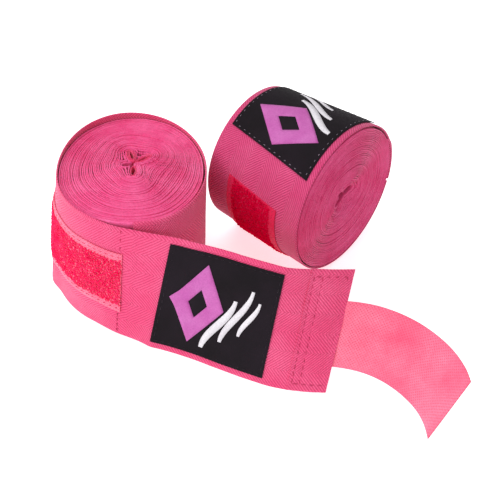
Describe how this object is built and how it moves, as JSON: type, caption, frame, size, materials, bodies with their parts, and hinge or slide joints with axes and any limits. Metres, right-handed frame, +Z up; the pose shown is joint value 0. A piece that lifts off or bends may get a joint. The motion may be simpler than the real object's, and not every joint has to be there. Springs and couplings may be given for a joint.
{
  "type": "hand wrap pair",
  "caption": "Pair of rolled woven hand wraps with hook-and-loop ends: one roll standing with its end drawn out, one closed and lying on its side.",
  "frame": {"origin": "centre of the pair's outline, on the surface the rolls stand on", "axes": "+Z up; +X along the pair's longest extent, from the standing roll towards the free hook tape; +Y towards the closed roll, away from the drawn-out end"},
  "size_m": [0.1646, 0.1564, 0.0682],
  "materials": {
    "band_cotton": "woven cotton and elastane band, fine herringbone, matte",
    "loop_cotton": "narrow woven tape, matte",
    "tape_weave": "plain woven nylon tape, fine mesh, slight sheen",
    "loop_pile": "brushed nylon loop pile, fuzzy",
    "hook_nylon": "moulded-fine nylon hooks on woven tape",
    "label_cloth": "dark woven label cloth, matte",
    "label_print": "flat screen print in orchid and off-white",
    "thread": "spun polyester thread"
  },
  "bodies": {
    "open_roll": {"open_winding": "band_cotton", "open_outer_turn": "band_cotton", "open_thumb_loop": "loop_cotton", "open_thumb_loop_tack": "thread", "open_loop_tape": "tape_weave", "open_loop_pile": "loop_pile", "open_loop_stitches": "thread"},
    "open_flap": {"open_label_panel": "band_cotton", "open_label": "label_cloth", "open_label_motif": "label_print", "open_label_stitches": "thread"},
    "open_hem_end": {"open_hem": "band_cotton", "open_hem_stitches": "thread"},
    "open_tab": {"open_tab_root": "tape_weave", "open_tab_root_hooks": "hook_nylon"},
    "open_tab_end": {"open_tab_tip": "tape_weave", "open_tab_tip_hooks": "hook_nylon"},
    "closed_roll": {"closed_winding": "band_cotton", "closed_outer_turn": "band_cotton", "closed_thumb_loop": "loop_cotton", "closed_thumb_loop_tack": "thread", "closed_loop_tape": "tape_weave", "closed_loop_pile": "loop_pile", "closed_loop_stitches": "thread", "closed_label": "label_cloth", "closed_label_motif": "label_print", "closed_label_stitches": "thread", "closed_hem": "band_cotton", "closed_hem_stitches": "thread"},
    "closed_tab": {"closed_tab_root": "tape_weave", "closed_tab_root_hooks": "hook_nylon"},
    "closed_tab_end": {"closed_tab_tip": "tape_weave", "closed_tab_tip_hooks": "hook_nylon"}
  },
  "joints": [
    {"name": "open_flap_swing", "type": "hinge", "parent": "open_roll", "child": "open_flap", "pos_m": [-0.04655, -0.02682, 0.02459], "axis": [0.0404, 0.3155, 0.9481], "range_deg": [-35, 0]},
    {"name": "open_hem_fold", "type": "hinge", "parent": "open_flap", "child": "open_hem_end", "pos_m": [0.01894, -0.04082, 0.02226], "axis": [0.1256, 0.4726, 0.8723], "range_deg": [-35, 0]},
    {"name": "open_tab_lift", "type": "hinge", "parent": "open_hem_end", "child": "open_tab", "pos_m": [0.03685, -0.0392, 0.01983], "axis": [0.2128, 0.5576, 0.8024], "range_deg": [-45, 6], "stiffness_Nm_per_rad": 0.008},
    {"name": "open_tab_curl", "type": "hinge", "parent": "open_tab", "child": "open_tab_end", "pos_m": [0.06184, -0.04823, 0.01939], "axis": [0.3954, 0.5013, 0.7697], "range_deg": [-45, 15], "stiffness_Nm_per_rad": 0.008},
    {"name": "closed_lift", "type": "slide", "parent": "open_roll", "child": "closed_roll", "axis": [0, 0, 1], "range_m": [0, 0.09]},
    {"name": "closed_tab_peel", "type": "hinge", "parent": "closed_roll", "child": "closed_tab", "pos_m": [0.03671, 0.06284, 0.02467], "axis": [0.8213, -0.569, 0.0407], "range_deg": [0, 80]},
    {"name": "closed_tip_peel", "type": "hinge", "parent": "closed_tab", "child": "closed_tab_end", "pos_m": [0.02421, 0.04466, 0.00213], "axis": [0.7997, -0.6004, 0.0023], "range_deg": [0, 45]}
  ],
  "couplings": [
    {"joint": "closed_tab_peel", "follows": "closed_lift", "rad_per_m": 15.514},
    {"joint": "closed_tip_peel", "follows": "closed_lift", "rad_per_m": 8.7266}
  ]
}
